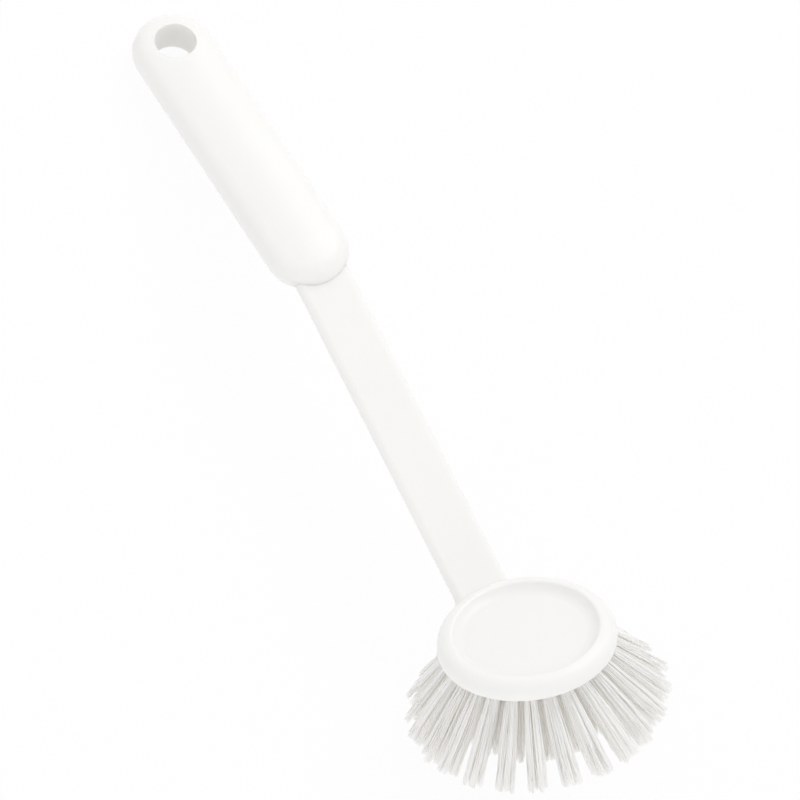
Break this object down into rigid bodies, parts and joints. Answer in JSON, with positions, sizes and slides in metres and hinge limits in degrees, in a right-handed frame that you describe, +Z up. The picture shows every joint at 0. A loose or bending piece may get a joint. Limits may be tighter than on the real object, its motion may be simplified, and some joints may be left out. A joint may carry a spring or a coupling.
{
  "type": "dish brush",
  "caption": "Dish brush with a round dished head of splayed bristle tufts, a flat neck that rises from its side, and a thick round-ended grip with a hang hole.",
  "frame": {"origin": "on the surface that the brush lies on, under the middle of its length", "axes": "+X from the head to the end of the grip, +Z up; the brush lies on its rear bristles and the end of its grip, and Y runs across it"},
  "size_m": [0.3089, 0.0928, 0.0724],
  "materials": {
    "head_plastic": "moulded polypropylene with a soft gloss",
    "grip_plastic": "moulded polypropylene with a soft gloss",
    "filament": "straight nylon filament with cut ends",
    "staple_wire": "flat drawn wire"
  },
  "bodies": {
    "root": {"grip": "grip_plastic", "head_and_neck": "head_plastic", "inner_anchors": "staple_wire", "inner_tuft_01": "filament", "inner_tuft_02": "filament", "inner_tuft_03": "filament", "inner_tuft_04": "filament", "inner_tuft_05": "filament", "inner_tuft_06": "filament", "inner_tuft_07": "filament", "inner_tuft_08": "filament", "middle_anchors": "staple_wire", "middle_tuft_01": "filament", "middle_tuft_02": "filament", "middle_tuft_03": "filament", "middle_tuft_04": "filament", "middle_tuft_05": "filament", "middle_tuft_06": "filament", "middle_tuft_07": "filament", "middle_tuft_08": "filament", "middle_tuft_09": "filament", "middle_tuft_10": "filament", "middle_tuft_11": "filament", "middle_tuft_12": "filament", "middle_tuft_13": "filament", "middle_tuft_14": "filament", "middle_tuft_15": "filament", "middle_tuft_16": "filament", "outer_anchors": "staple_wire", "outer_tuft_01": "filament", "outer_tuft_02": "filament", "outer_tuft_03": "filament", "outer_tuft_04": "filament", "outer_tuft_05": "filament", "outer_tuft_06": "filament", "outer_tuft_07": "filament", "outer_tuft_08": "filament", "outer_tuft_09": "filament", "outer_tuft_10": "filament", "outer_tuft_11": "filament", "outer_tuft_12": "filament", "outer_tuft_13": "filament", "outer_tuft_14": "filament", "outer_tuft_15": "filament", "outer_tuft_16": "filament", "outer_tuft_17": "filament", "outer_tuft_18": "filament", "outer_tuft_19": "filament", "outer_tuft_20": "filament", "outer_tuft_21": "filament", "outer_tuft_22": "filament", "outer_tuft_23": "filament", "outer_tuft_24": "filament"}
  },
  "joints": []
}
